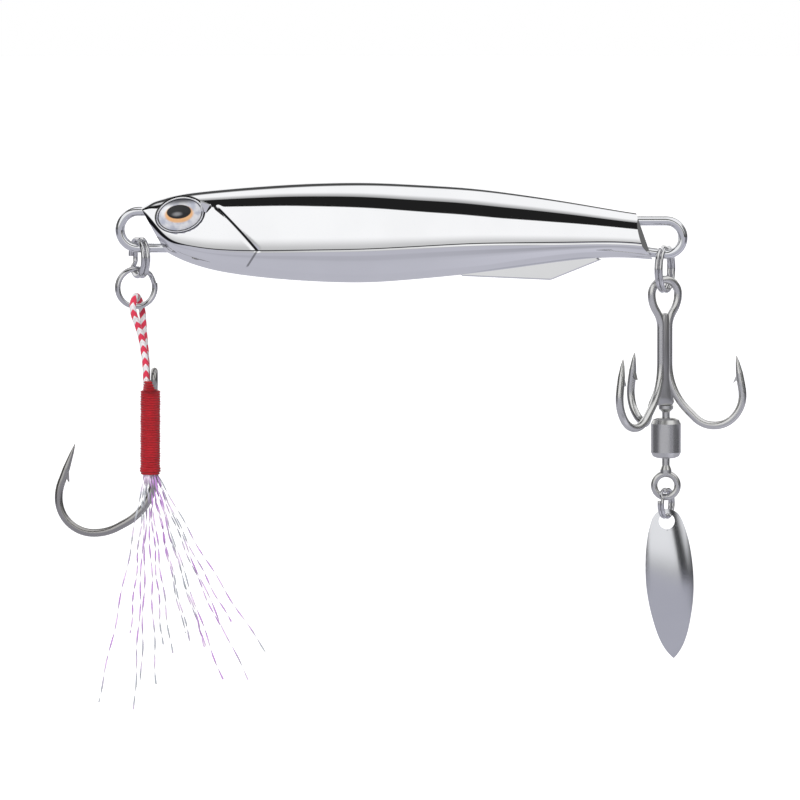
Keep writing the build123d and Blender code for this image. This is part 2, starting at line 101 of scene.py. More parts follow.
# cuts at the ends: line of the face, side that goes, and side of a corner cut
END_CUTS = ((NOSE_FACE, -1, 0), (TAIL_FACE, 1, 0), (TAIL_FACE, 1, -1), (TAIL_FACE, 1, 1))
KEEL = [(46.5, -5.5), (48.5, -6.95), (61.8, -7.55), (69.4, -4.5), (66.0, -3.0)]
KEEL_HALF = 0.6
KEEL_BEVEL = 0.2
LIP_LEDGE, LIP_FADE, LIP_OUT = 0.6, 3.6, 0.18
LIP_START_X, LIP_FULL_X = 4, 10
GILL_START_X, GILL_LOW, GILL_HIGH = 10.5, -3, 3.6
GILL_X, GILL_LEAN, GILL_CURVE, GILL_SCALE = 15.265, 0.922, 0.0154, 0.735
GILL_GROOVE, GILL_WIDTH = 0.07, 0.2
CHEEK_X, CHEEK_LEAN, CHEEK_SCALE = 19.66, 0.617, 0.85
# place in the map "skin" that no line or lip reaches
PLAIN_SKIN = (60, -5)

# eye: its rim, its seat in the casting and its print; a reach is 1 at the outside of the rim
EYE_MIDDLE = (6.3, 2.38)
EYE_TURN = math.radians(14)
RIM_LONG, RIM_SHORT = 7.25, 5.1
# each corner of the profile is (reach, out)
RIM_PROFILE = [(1.0, 1.0), (1.0, 3.38), (0.993, 3.48), (0.975, 3.55), (0.955, 3.55), (0.937, 3.48),
               (0.93, 3.38), (0.93, 2.4)]
RIM_CORNER = [(9.35, 4.45), (10.95, 3.95), (10.15, 2.75), (9.3, 2.9)]
RIM_CORNER_NEAR, RIM_CORNER_FAR, RIM_CORNER_BEVEL = 1.8, 3.35, 0.14
SEAT_REACH, SEAT_OUT = 0.965, 2.5
DOME_REACH, DOME_TOP, DOME_FALL, DOME_BACK, DOME_STEPS = 0.93, 3.86, 0.6, 2.6, 12
OVAL_STEPS = 96
PRINT_MIDDLE = (6.15, 2.86)
PRINT_TURN = math.asin(0.1)
PUPIL_HALVES = (1.86, 1.05)
IRIS_HALVES, IRIS_DOWN = (2.15, 1.3), 0.34
# painted highlight on the pupil: its half sizes, and how far it sits left and down
PAINTED_GLINT_HALVES, PAINTED_GLINT_LEFT, PAINTED_GLINT_DOWN = (0.95, 0.42), 0.3, 0.32

# treble: two shanks side by side from the double hook, and a third one in the braze between them
TREBLE_X = 78.9
SHANK_PLANE = math.radians(25)
SHANK_OFF_AXIS = 0.62
DOUBLE_BEND = math.radians(235)
THIRD_SHANK_TOP = -14.7
THIRD_PLACE = math.radians(115)
THIRD_BEND = math.radians(126)
THIRD_OUT = 1.09
THIRD_SHORTER = 3.54
SHORTER_FROM, SHORTER_TO = 2.5, 8.0
SHARP_EDGE = 0.7
BRAZE_RIGHT = [(0.0, -12.4), (0.42, -12.75), (0.62, -14.0), (0.66, -20.5), (0.85, -23.3), (1.2, -25.1),
               (1.4, -25.9), (1.1, -26.4)]
BRAZE_HALF = 0.58
BRAZE_BEVEL = 0.2

# tinsel: tips of the strands, and the bundle that they spring from
TINSEL_TIPS = [
    (-6.1, -2.4, -70.9), (-1.3, -1.9, -60.5), (-0.7, -3.4, -71.9), (0.2, 2.2, -68.6), (2.6, -1.5, -68.3),
    (3.5, 1.9, -62.6), (5.0, -2.6, -63.5), (6.9, 0.9, -60.8), (7.7, -0.7, -62.0), (9.9, 2.6, -63.1),
    (10.2, -1.8, -62.6), (12.6, -3.0, -67.4), (12.0, 1.5, -59.6), (13.8, -0.9, -58.9), (16.4, 1.1, -67.9),
    (19.4, -0.4, -64.0),
]
TINSEL_STEPS = 150
BUNDLE_HALF_X, BUNDLE_HALF_Y, BUNDLE_ROUND = 0.9, 0.95, 0.3
BUNDLE_INSIDE = 0.5
# a strand's bow sideways is a share of its own sideways run
STRAND_BOW_X, STRAND_BOW_Y, STRAND_CRIMP = -0.035, 0.35, 0.12

# camera and lights, in metres, but for the sensor
CAMERA_TARGET = Vector((39.2, 0, -25.6)) * MM
CAMERA_TILT = math.radians(4)
CAMERA_AWAY = 1.6
SENSOR_WIDTH = 36
WIDTH_SEEN = 0.12
FLOOR_MIDDLE, FLOOR_RADIUS = (0.04, 0, -0.2), 6.0
KEY_PLACE, KEY_TARGET = (-0.15, -0.6, 0.45), (0.04, 0, -0.02)

# studio as polished metal shows it: degrees up from the camera's side, over the top to the back
BLACK_CARD_LOW, BLACK_CARD_HIGH, BLACK_CARD_SLANT = 30, 50, 60
BACK_CARD_LOW_UP, BACK_CARD_HIGH_UP = 10, 18
HORIZON_BLUR = 6.5
FLOOR_IN_METAL = (0.5, 0.5, 0.56)
OUT_OF_METAL = ("assist_cord_braid", "thread_turns", "tinsel_strands")

METALS = {
    "polished_wire": {"colour": (0.84, 0.85, 0.87), "roughness": 0.07},
    "ring_steel": {"colour": (0.6, 0.6, 0.61), "roughness": 0.14, "grain": 0.002},
    "dark_nickel": {"colour": (0.45, 0.44, 0.43), "roughness": 0.2, "grain": 0.003},
    "satin_tin": {"colour": (0.74, 0.74, 0.73), "roughness": 0.22, "grain": 0.001},
    "braze": {"colour": (0.6, 0.6, 0.6), "roughness": 0.28, "waviness": 0.03, "grain": 0.001},
    "satin_nickel": {"colour": (0.7, 0.7, 0.69), "roughness": 0.25, "grain": 0.001,
                     "grain_stretch": (1, 1, 4)},
    "plated_blade": {"colour": (0.76, 0.77, 0.8), "roughness": 0.16, "grain": 0.001},
}


# ---- places, for numbers and for shader values alike ----
def turned(x, z, middle, turn):
    """Across and up from a middle, along axes that are turned by an angle."""
    off_x, off_z = x - middle[0], z - middle[1]
    return (off_x * math.cos(turn) + off_z * math.sin(turn),
            off_z * math.cos(turn) - off_x * math.sin(turn))


def eye_place(x, z):
    """Across and up from the middle of the eye, as shares of its rim's half length and half height."""
    across, up = turned(x, z, EYE_MIDDLE, EYE_TURN)
    return across / (RIM_LONG / 2), up / (RIM_SHORT / 2)


def gill_gap(x, z):
    """Distance from the curved gill line."""
    return (x - GILL_X + z * GILL_LEAN + z * z * GILL_CURVE) * GILL_SCALE


def share(number, low, high):
    """How far a number has gone from low to high, between 0 and 1."""
    return min(1.0, max(0.0, (number - low) / (high - low)))


def heading(angle):
    """Level direction at an angle."""
    return Vector((math.cos(angle), math.sin(angle), 0))


# ---- shader maths ----
class Value:
    """A shader socket that takes part in Python arithmetic."""

    def __init__(self, shader, socket):
        self.shader = shader
        self.socket = socket

    def _join(self, operation, *terms):
        made = self.shader.node("ShaderNodeMath", {"operation": operation}, list(terms))
        return Value(self.shader, made.outputs[0])

    def __add__(self, other):
        return self._join("ADD", self, other)

    def __radd__(self, other):
        return self._join("ADD", other, self)

    def __sub__(self, other):
        return self._join("SUBTRACT", self, other)

    def __rsub__(self, other):
        return self._join("SUBTRACT", other, self)

    def __mul__(self, other):
        return self._join("MULTIPLY", self, other)

    def __truediv__(self, other):
        return self._join("DIVIDE", self, other)

    def __pow__(self, other):
        return self._join("POWER", self, other)

    def __gt__(self, other):
        return self._join("GREATER_THAN", self, other)

    def __lt__(self, other):
        return self._join("LESS_THAN", self, other)

    def __abs__(self):
        return self._join("ABSOLUTE", self)

    def sine(self):
        return self._join("SINE", self)

    def arctan(self, other):
        return self._join("ARCTAN2", self, other)

    def part(self):
        return self._join("FRACT", self)

    def root(self):
        return self._join("SQRT", self)

    def ramp(self, low, high, start=0.0, end=1.0):
        """Smooth step from start to end as the value goes from low to high."""
        limits = {"Value": self, "From Min": low, "From Max": high, "To Min": start, "To Max": end}
        made = self.shader.node("ShaderNodeMapRange", {"interpolation_type": "SMOOTHSTEP"}, limits)
        return Value(self.shader, made.outputs["Result"])

    def band(self, start, full, fade, end):
        """One from full to fade, and nothing outside start and end."""
        return self.ramp(start, full) * self.ramp(fade, end, 1.0, 0.0)


def oval(across, up, halves=(1, 1)):
    """Reach of a shader value from the middle of an oval, where 1 is its edge."""
    return ((across / halves[0]) ** 2.0 + (up / halves[1]) ** 2.0).root()


class Shader:
    """Node tree of one finish, or of the world."""

    def __init__(self, owner):
        owner.use_nodes = True
        self.tree = owner.node_tree
        self.tree.nodes.clear()

    def node(self, kind, options=None, sockets=None):
        made = self.tree.nodes.new(kind)
        for name, option in (options or {}).items():
            setattr(made, name, option)
        pairs = sockets.items() if isinstance(sockets, dict) else enumerate(sockets or [])
        for key, given in pairs:
            into = made.inputs[key]
            if isinstance(given, Value):
                self.tree.links.new(given.socket, into)
            elif isinstance(given, bpy.types.NodeSocket):
                self.tree.links.new(given, into)
            elif hasattr(given, "__len__") and len(given) == 3 and into.type == "RGBA":
                into.default_value = (*given, 1)
            else:
                into.default_value = given
        return made

    def axes(self, source):
        """The three values of a vector socket."""
        split = self.node("ShaderNodeSeparateXYZ", None, [source])
        return [Value(self, split.outputs[axis]) for axis in range(3)]

    def place(self):
        """Object coordinates in millimetres, as three values."""
        seat = self.node("ShaderNodeTexCoord")
        return [step * 1000 for step in self.axes(seat.outputs["Object"])]

    def mapped(self, uv_map):
        """The two values of a UV map."""
        seat = self.node("ShaderNodeUVMap", {"uv_map": uv_map})
        return self.axes(seat.outputs[0])[:2]

    def noise(self, scale, detail=3.0, stretch=(1, 1, 1)):
        """Noise with features of about 1/scale millimetres."""
        seat = self.node("ShaderNodeTexCoord")
        sized = self.node("ShaderNodeMapping", None,
                          {"Vector": seat.outputs["Object"], "Scale": [1000 * step for step in stretch]})
        made = self.node("ShaderNodeTexNoise", None,
                         {"Vector": sized.outputs[0], "Scale": scale, "Detail": detail})
        return Value(self, made.outputs[0])

    def mix(self, factor, first, second):
        """Colour between two colours."""
        made = self.node("ShaderNodeMix", {"data_type": "RGBA"}, {0: factor})
        for key, given in ((6, first), (7, second)):
            if isinstance(given, bpy.types.NodeSocket):
                self.tree.links.new(given, made.inputs[key])
            else:
                made.inputs[key].default_value = (*given, 1)
        return made.outputs[2]

    def bump(self, height, strength, distance):
        return self.node("ShaderNodeBump", None,
                         {"Height": height, "Strength": strength, "Distance": distance}).outputs[0]

    def on_rays(self, kind, others, seen):
        """One shader for rays of a kind, and another for the rest."""
        path = self.node("ShaderNodeLightPath")
        return self.node("ShaderNodeMixShader", None,
                         [path.outputs[kind], others.outputs[0], seen.outputs[0]])


def finish(name, sockets, build):
    """A material with a Principled shader; build(shader) gives its varying sockets."""
    made = bpy.data.materials.new(name)
    shader = Shader(made)
    surface = shader.node("ShaderNodeBsdfPrincipled", None, {**sockets, **build(shader)})
    shader.node("ShaderNodeOutputMaterial", None, {"Surface": surface.outputs[0]})
    return made


def paint(material, *node_names):
    """Gives CAD nodes one finish."""
    for name in node_names:
        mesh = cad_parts[name].data
        mesh.materials.clear()
        mesh.materials.append(material)


# ---- finishes ----
def polished_metal(name, colour, roughness, waviness=0.0, grain=0.0, grain_stretch=(1, 1, 1)):
    """Bare or plated metal with a faint cloud in its gloss."""
    def build(shader):
        cloud = shader.noise(0.12)
        speck = shader.noise(1.6, 2.0, grain_stretch)
        tone = shader.mix(cloud.ramp(0.3, 0.7), [part * 0.96 for part in colour], colour)
        sockets = {"Base Color": tone, "Roughness": roughness + cloud.ramp(0.35, 0.75, 0.0, 0.04)}
        if waviness or grain:
            sockets["Normal"] = shader.bump(cloud * waviness + speck * grain, 1.0, MM)
        return sockets

    return finish(name, {"Metallic": 1.0, "Specular IOR Level": 0.5}, build)


def metal(name):
    """One of the metals, made when it is first asked for."""
    return bpy.data.materials.get(name) or polished_metal(name, **METALS[name])


def plated_casting(chosen):
    """Bright plating with painted shade that makes it dark down in the mouth line, the gill lines, the cheek
    line and the seam round the eye.
    """
    def build(shader):
        run, off = shader.mapped("skin")
        x, _, z = shader.place()
        cloud = shader.noise(0.12)
        mouth_width = run.ramp(0.5, 8.0, 0.5, 0.07)
        # each mask below is painted shade, down in a groove or in the seam round the eye
        mouth = (abs(off) / mouth_width).ramp(0.75, 1.3, 1.0, 0.0)
        gill = (abs(gill_gap(x, z)) / 0.17).ramp(0.7, 1.5, 1.0, 0.0) * z.band(-3.1, -2.8, 3.2, 3.6)
        cheek_gap = abs(x - CHEEK_X - z * CHEEK_LEAN) * CHEEK_SCALE
        cheek = (cheek_gap / 0.13).ramp(0.6, 1.6, 0.6, 0.0) * z.band(-5.6, -5.2, -3.0, -2.8)
        seam = oval(*eye_place(x, z)).ramp(1.04, 1.085, 1.0, 0.0) * (run < 20)
        # all the painted shade of the grooves and the eye seam together
        line = 1.0 - (1.0 - mouth) * (1.0 - gill) * (1.0 - cheek) * (1.0 - seam)
        tone = shader.mix(cloud.ramp(0.3, 0.7), [part * 0.97 for part in chosen.chrome], chosen.chrome)
        # the plating turns near black, and rougher, under the painted shade
        return {"Base Color": shader.mix(line, tone, (0.012, 0.012, 0.014)),
                "Roughness": 0.02 + cloud.ramp(0.35, 0.75, 0.0, 0.02) + line * 0.3}

    return finish("plated_casting", {"Metallic": 1.0}, build)


def printed_eye(chosen):
    """Pearl silver print with a gold iris and an oval pupil, under a clear coat, with painted shade towards
    the top and round the edge by the rim, and a painted highlight on the pupil.
    """
    def build(shader):
        x, _, z = shader.place()
        across, up = turned(x, z, PRINT_MIDDLE, PRINT_TURN)
        pupil = oval(across, up, PUPIL_HALVES)
        iris = oval(across, up + IRIS_DOWN, IRIS_HALVES)
        painted_glint = oval(across + PAINTED_GLINT_LEFT, up + PAINTED_GLINT_DOWN, PAINTED_GLINT_HALVES)
        pearl = shader.noise(0.8, 4.0)
        silver = shader.mix(pearl.ramp(0.35, 0.65), (0.5, 0.52, 0.6), (0.78, 0.78, 0.8))
        # painted shade: the silver grows near black towards the top of the eye, as under a brow
        silver = shader.mix(up.ramp(0.75, 1.7), silver, (0.1, 0.1, 0.11))
        gold = shader.mix(pearl.ramp(0.3, 0.7), chosen.iris, (0.85, 0.5, 0.25))
        ringed = shader.mix(iris.ramp(0.88, 1.1, 1.0, 0.0), silver, gold)
        # painted highlight: a soft grey glint on the lower left of the black pupil
        black = shader.mix(painted_glint.ramp(0.2, 1.1, 1.0, 0.0), (0.003, 0.003, 0.004), (0.2, 0.2, 0.21))
        tone = shader.mix(pupil.ramp(0.93, 1.04, 1.0, 0.0), ringed, black)
        # painted shade: a near black ring round the edge of the print, where it meets the rim
        tone = shader.mix(oval(*eye_place(x, z)).ramp(0.885, 0.905), tone, (0.01, 0.01, 0.01))
        return {"Base Color": tone, "Metallic": pupil.ramp(0.93, 1.04, 0.0, 0.3),
                "Roughness": 0.35 + pearl * 0.1, "Normal": shader.bump(pearl, 0.1, 0.2 * MM)}

    return finish("printed_eye", {"Coat Weight": 0.3, "Coat Roughness": 0.03}, build)


def braided(chosen):
    """Red and white braid that follows the cord's own UV map, with painted shade in the valleys between the
    strands.
    """
    def build(shader):
        around, along = shader.mapped("along")
        slant = abs((around * 2.0).part() - 0.5) * 2.0
        strand = (along + slant * BRAID_SLANT) / BRAID_PITCH
        is_red = (strand.part() - 0.5).ramp(-0.02, 0.02)
        rope = abs((strand * 4.0).part() - 0.5) * 2.0
        seam = abs(slant - 0.5) * 2.0
        ridge = (1.0 - rope ** 3.0) * (1.0 - seam ** 6.0 * 0.6)
        fuzz = shader.noise(6.0, 3.0, (1, 1, 0.5))
        red = shader.mix(fuzz.ramp(0.3, 0.7), chosen.cord_red, (0.72, 0.05, 0.1))
        white = shader.mix(fuzz.ramp(0.3, 0.7), (0.78, 0.74, 0.76), (0.93, 0.9, 0.92))
        tone = shader.mix(is_red, white, red)
        # painted shade: dark red down in the valleys between the strands
        tone = shader.mix(ridge.ramp(0.0, 0.3, 0.3, 0.0), tone, (0.3, 0.03, 0.05))
        return {"Base Color": tone, "Roughness": 0.6 + fuzz * 0.25,
                "Normal": shader.bump(ridge + fuzz * 0.25, 0.8, 0.1 * MM)}

    return finish("braided_cord", {"Sheen Weight": 0.25, "Sheen Roughness": 0.4}, build)


def wound_thread(chosen):
    """Red thread with a faint gloss."""
    def build(shader):
        fuzz = shader.noise(3.0, 4.0, (1, 1, 3.5))
        broad = shader.noise(0.4, 2.0)
        tone = shader.mix(fuzz.ramp(0.3, 0.75), chosen.thread_red, (0.27, 0.001, 0.006))
        tone = shader.mix(broad.ramp(0.4, 0.8, 0.0, 0.35), tone, (0.56, 0.006, 0.016))
        return {"Base Color": tone, "Roughness": 0.42 + fuzz * 0.25,
                "Normal": shader.bump(fuzz, 0.5, 0.05 * MM)}

    return finish("wound_thread", {"Coat Weight": 0.1, "Coat Roughness": 0.35}, build)


def pearl_tinsel(chosen):
    """Glossy violet strands that turn silver and pale pink along their length."""
    def build(shader):
        strand, along = shader.mapped("along")
        shift = (along * 0.21 + strand * 7.3).sine() * 0.5 + 0.5
        fine = (along * 0.9 + strand * 3.1).sine() * 0.5 + 0.5
        tone = shader.mix(shift.ramp(0.35, 0.9), chosen.tinsel, (0.5, 0.52, 0.56))
        tone = shader.mix(fine.ramp(0.55, 1.0, 0.0, 0.8), tone, (0.9, 0.72, 0.93))
        return {"Base Color": tone, "Roughness": 0.2 + fine * 0.15}

    return finish("pearl_tinsel", {"Metallic": 0.25, "Coat Weight": 0.5, "Coat Roughness": 0.1}, build)


# ---- settings ----
class JigSettings(bpy.types.PropertyGroup):
    """Sizes and colours of the dressed jig."""

    cord_width: bpy.props.FloatProperty(name="Cord width", description="Diameter of the assist cord",
                                        default=1.0 * MM, min=0.3 * MM, unit="LENGTH")
    thread_width: bpy.props.FloatProperty(name="Whipping width", description="Diameter over the whipping",
                                          default=3.1 * MM, min=1.0 * MM, unit="LENGTH")
    thread_turns: bpy.props.IntProperty(name="Whipping turns", description="Turns of thread that show",
                                        default=38, min=8)
    tinsel_width: bpy.props.FloatProperty(name="Tinsel width", description="Width of one flat strand",
                                          default=0.26 * MM, min=0.05 * MM, unit="LENGTH")
    chrome: bpy.props.FloatVectorProperty(name="Plating", description="Colour of the plated casting",
                                          default=(0.93, 0.935, 0.95), subtype="COLOR")
    iris: bpy.props.FloatVectorProperty(name="Iris", description="Colour of the printed iris",
                                        default=(0.85, 0.45, 0.2), subtype="COLOR")
    cord_red: bpy.props.FloatVectorProperty(name="Cord red", description="Red strands of the cord",
                                            default=(0.8, 0.03, 0.08), subtype="COLOR")
    thread_red: bpy.props.FloatVectorProperty(name="Thread red", description="Colour of the whipping thread",
                                              default=(0.46, 0.002, 0.01), subtype="COLOR")
    tinsel: bpy.props.FloatVectorProperty(name="Tinsel", description="Main colour of the tinsel",
                                          default=(0.6, 0.32, 0.72), subtype="COLOR")


# ---- meshes ----
def mesh_of(shape, name):
    """The mesh of a finished shape, which is freed."""
    mesh = bpy.data.meshes.new(name)
    shape.to_mesh(mesh)
    shape.free()
    return mesh


def round_off(shape):
    """Turns every face outward and shades it smooth."""
    bmesh.ops.recalc_face_normals(shape, faces=shape.faces)
    for face in shape.faces:
        face.smooth = True


def new_piece(name, mesh, body, material, *cad_nodes):
    """Links a mesh as a piece that rides on a body and stands for CAD nodes."""
    piece = bpy.data.objects.new(name, mesh)
    bpy.context.scene.collection.objects.link(piece)
    mesh.materials.append(material)
    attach(piece, body)
    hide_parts(*cad_nodes)
    return piece


def chain(shape, places):
    """Corners in a row and the lines between them, ready to spin."""
    corners = [shape.verts.new(place) for place in places]
    return corners + [shape.edges.new(pair) for pair in zip(corners[:-1], corners[1:])]


def tube_mesh(name, points, width, sides):
    """Closed tube along points in metres, with a UV map: around once, and along in millimetres."""
    shape = bmesh.new()
    rings = []
    loops = []
    places = {}
    side = Vector((0, -1, 0))
    travelled = [0.0]
    for before, after in zip(points[:-1], points[1:]):
        travelled.append(travelled[-1] + (after - before).length * 1000)
    for count, point in enumerate(points):
        ahead = points[min(count + 1, len(points) - 1)] - points[max(count - 1, 0)]
        ahead.normalize()
        side = (side - ahead * side.dot(ahead)).normalized()
        across = Matrix((side, ahead.cross(side), ahead)).transposed().to_4x4()
        ring = bmesh.ops.create_circle(shape, segments=sides, radius=width / 2,
                                       matrix=Matrix.Translation(point) @ across)["verts"]
        for number, corner in enumerate(ring):
            places[corner] = (number, travelled[count])
        rings.append(ring)
        loops.append({edge for corner in ring for edge in corner.link_edges})
    for first, second in zip(loops[:-1], loops[1:]):
        bmesh.ops.bridge_loops(shape, edges=[*first, *second])
    for ring in (rings[0], rings[-1]):
        shape.faces.new(ring)
    bmesh.ops.recalc_face_normals(shape, faces=shape.faces)
    layer = shape.loops.layers.uv.new("along")
    for face in shape.faces:
        face.smooth = len(face.verts) == 4
        numbers = [places[corner.vert][0] for corner in face.loops]
        wraps = max(numbers) - min(numbers) > sides / 2
        for corner in face.loops:
            number, run = places[corner.vert]
            if wraps and number < sides / 2:
                number += sides
            corner[layer].uv = (number / sides, run)
    return mesh_of(shape, name)


def route_points(name, route):
    """The smooth line of a route, read from its NURBS spline."""
    curve = bpy.data.curves.new(name, "CURVE")
    curve.dimensions = "3D"
    curve.resolution_u = 24
    spline = curve.splines.new("NURBS")
    spline.points.add(len(route) - 1)
    for target, place in zip(spline.points, route):
        target.co = (*[step * MM for step in place], 1)
    spline.order_u = 3
    spline.use_endpoint_u = True
    holder = bpy.data.objects.new(name, curve)
    bpy.context.scene.collection.objects.link(holder)
    bpy.context.view_layer.update()
    line = bpy.data.meshes.new_from_object(holder)
    points = [corner.co.copy() for corner in line.vertices]
    bpy.data.objects.remove(holder)
    bpy.data.meshes.remove(line)
    bpy.data.curves.remove(curve)
    return points


def turn_reach(turn, down):
    """Half width of a turn of thread, as a share of the whipping's, when it is a share of the way down."""
    if down >= 0.97:
        return END_REACH
    if down > 0.93:
        return SHOULDER_REACH
    uneven = 1.0 + 0.012 * math.sin(turn * 2.4) + 0.01 * math.sin(turn * 0.9)
    return (COLLAR_REACH if down < 0.1 else TURN_REACH) * uneven


def section_at(x):
    """Top, crease, bottom and half width of the casting at x."""
    last = len(CASTING_SECTIONS) - 1
    at = max(1, min(last, sum(row[0] < x for row in CASTING_SECTIONS)))
    behind, before, after, ahead = (CASTING_SECTIONS[max(0, min(last, at + step))]
                                    for step in (-2, -1, 0, 1))
    span = after[0] - before[0]
    part = (x - before[0]) / span
    found = []
    for each in range(1, 5):
        leave = (after[each] - behind[each]) / (after[0] - behind[0]) * span
        arrive = (ahead[each] - before[each]) / (ahead[0] - before[0]) * span
        found.append(before[each] * (1 + 2 * part) * (1 - part) ** 2 + leave * part * (1 - part) ** 2
                     + after[each] * part * part * (3 - 2 * part) + arrive * part * part * (part - 1))
    return found


def section_points(x):
    """Half a section from the top to the bottom: (out, z, distance below the crease) for each row."""
    width = min(SECTION_BLEND, SECTION_BLEND_AT_NOSE * x)
    low, high = CASTING_SECTIONS[0][0], CASTING_SECTIONS[-1][0]
    samples = [section_at(x + width * step) for step in (-1, -0.5, 0, 0.5, 1)
               if low <= x - width * abs(step) and x + width * abs(step) <= high]
    top, crease, bottom, out = [sum(column) / len(samples) for column in zip(*samples)]
    above, side, below = Vector((0, top)), Vector((out, crease)), Vector((0, bottom))
    line = [above]
    for first, last, handles, height, rows in ((above, side, UPPER_HANDLES, top - crease, UPPER_ROWS),
                                               (side, below, LOWER_HANDLES, bottom - crease, LOWER_ROWS)):
        pulls = [Vector((out * wide, crease + height * tall)) for wide, tall in handles]
        line += list(interpolate_bezier(first, *pulls, last, rows + 1))[1:]
    travelled = [0.0]
    for before, after in zip(line[:-1], line[1:]):
        travelled.append(travelled[-1] + (after - before).length)
    return [(place.x, place.y, run - travelled[UPPER_ROWS]) for place, run in zip(line, travelled)]


def lip(off):
    """How far the belly stands out, at a distance below the crease: it starts with a small rounded ledge."""
    rise = (1 - math.cos(math.pi * share(off, 0, LIP_LEDGE))) / 2
    fall = 1 - share(off, LIP_LEDGE, LIP_FADE)
    return LIP_OUT * rise * fall * fall * (3 - 2 * fall)


def casting_side(shape):
    """One side of the casting as a regular grid; its map "skin" is (x, distance below the crease)."""
    rows, columns = UPPER_ROWS + LOWER_ROWS, NOSE_COLUMNS + TAIL_COLUMNS
    row_layer = shape.verts.layers.int.new("row")
    sections = []
    for column in range(columns + 1):
        if column <= NOSE_COLUMNS:
            x = NOSE_X + (GILL_END_X - NOSE_X) * column / NOSE_COLUMNS
        else:
            x = GILL_END_X + (TAIL_X - GILL_END_X) * (column - NOSE_COLUMNS) / TAIL_COLUMNS
        sections.append((x, section_points(x)))
    spots = {}
    for corner in bmesh.ops.create_grid(shape, x_segments=columns, y_segments=rows, size=0.5)["verts"]:
        x, points = sections[round((corner.co.x + 0.5) * columns)]
        row = round((corner.co.y + 0.5) * rows)
        out, z, off = points[row]
        if math.hypot(*eye_place(x, z)) < SEAT_REACH:
            out = min(out, SEAT_OUT)
        elif GILL_START_X < x < GILL_END_X and GILL_LOW < z < GILL_HIGH:
            out -= GILL_GROOVE * math.exp(-(gill_gap(x, z) / GILL_WIDTH) ** 2)
        out += lip(off) * share(x, LIP_START_X, LIP_FULL_X) * min(1, out / 2)
        corner.co = Vector((x, -out, z)) * MM
        corner[row_layer] = row
        spots[corner] = (x, off)
    skin = shape.loops.layers.uv.new("skin")
    for face in shape.faces:
        for loop in face.loops:
            loop[skin].uv = spots[loop.vert]


def all_of(shape):
    return shape.verts[:] + shape.edges[:] + shape.faces[:]


def cut_away(shape, place, outward, dist):
    """Takes off what is outward of a plane, and gives the edges of the cut."""
    cut = bmesh.ops.bisect_plane(shape, geom=all_of(shape), dist=dist, plane_co=place, plane_no=outward,
                                 clear_outer=True)
    return [part for part in cut["geom_cut"] if isinstance(part, bmesh.types.BMEdge)]


def cut_end(shape, face_line, outward, hand):
    """Cuts an end of the casting along a line: square across, or as a corner on one hand."""
    (x, z), (far_x, far_z) = face_line
    normal = Vector((far_x - x, 0, far_z - z)).cross(Vector((0, 1, 0)))
    if normal.x * outward < 0:
        normal.negate()
    normal = normal.normalized() + Vector((0, hand, 0))
    rim = cut_away(shape, Vector((x, hand * TAIL_FLAT, z)) * MM, normal, 1e-7)
    for edge in rim:
        edge.smooth = False
    bmesh.ops.edgeloop_fill(shape, edges=rim)


def turned_oval(shape, profile, hand):
    """Spins a profile of (reach, out) about an eye's middle and stretches it to the eye's oval."""
    before = set(shape.verts)
    line = chain(shape, [(reach, hand * out, 0) for reach, out in profile])
    bmesh.ops.spin(shape, geom=line, axis=(0, 1, 0), cent=(0, 0, 0), angle=math.tau, steps=OVAL_STEPS,
                   use_merge=True)
    made = [corner for corner in shape.verts if corner not in before]
    seat = (Matrix.Translation(Vector((EYE_MIDDLE[0], 0, EYE_MIDDLE[1])) * MM)
            @ Matrix.Rotation(-EYE_TURN, 4, "Y")
            @ Matrix.Diagonal((RIM_LONG / 2 * MM, MM, RIM_SHORT / 2 * MM, 1)))
    bmesh.ops.transform(shape, matrix=seat, verts=made)
    for corner in made:
        for face in corner.link_faces:
            face.smooth = True


def extruded_outline(shape, outline, near, far, bevel):
    """A flat plate with bevelled edges, from an outline in the plane of the casting."""
    face = shape.faces.new([shape.verts.new((x * MM, near * MM, z * MM)) for x, z in outline])
    grown = bmesh.ops.extrude_face_region(shape, geom=[face])
    lifted = [part for part in grown["geom"] if isinstance(part, bmesh.types.BMVert)]
    bmesh.ops.translate(shape, verts=lifted, vec=(0, (far - near) * MM, 0))
    edges = {edge for corner in [*face.verts, *lifted] for edge in corner.link_edges}
    faces = {side for edge in edges for side in edge.link_faces}
    bmesh.ops.recalc_face_normals(shape, faces=list(faces))
    bmesh.ops.bevel(shape, geom=list(edges), offset=bevel * MM, affect="EDGES", segments=2, profile=0.5,
                    material=-1)


# ---- operators ----
class JIG_OT_camera(bpy.types.Operator):
    """Sets the camera level with the jig, a little above it"""

    bl_idname = "jig.camera"
    bl_label = "Camera"

    def execute(self, context):
        lens = bpy.data.cameras.new("camera")
        lens.sensor_width = SENSOR_WIDTH
        lens.lens = SENSOR_WIDTH * CAMERA_AWAY / WIDTH_SEEN
        lens.clip_start = 0.05
        camera = bpy.data.objects.new("camera", lens)
        back = Vector((0, -math.cos(CAMERA_TILT), math.sin(CAMERA_TILT)))
        camera.location = CAMERA_TARGET + back * CAMERA_AWAY
        camera.rotation_euler = (math.pi / 2 - CAMERA_TILT, 0, 0)
        context.scene.collection.objects.link(camera)
        context.scene.camera = camera
        return {"FINISHED"}


class JIG_OT_cord(bpy.types.Operator):
    """Makes the braided assist cord"""

    bl_idname = "jig.cord"
    bl_label = "Assist cord"

    def execute(self, context):
        chosen = context.scene.casting_jig
        points = route_points("cord_route", CORD_ROUTE)
        mesh = tube_mesh("assist_cord_braid", points, chosen.cord_width, CORD_SIDES)
        piece = new_piece("assist_cord_braid", mesh, "assist_rig", braided(chosen), "assist_cord")
        [list(point) for point in points]
        return {"FINISHED"}


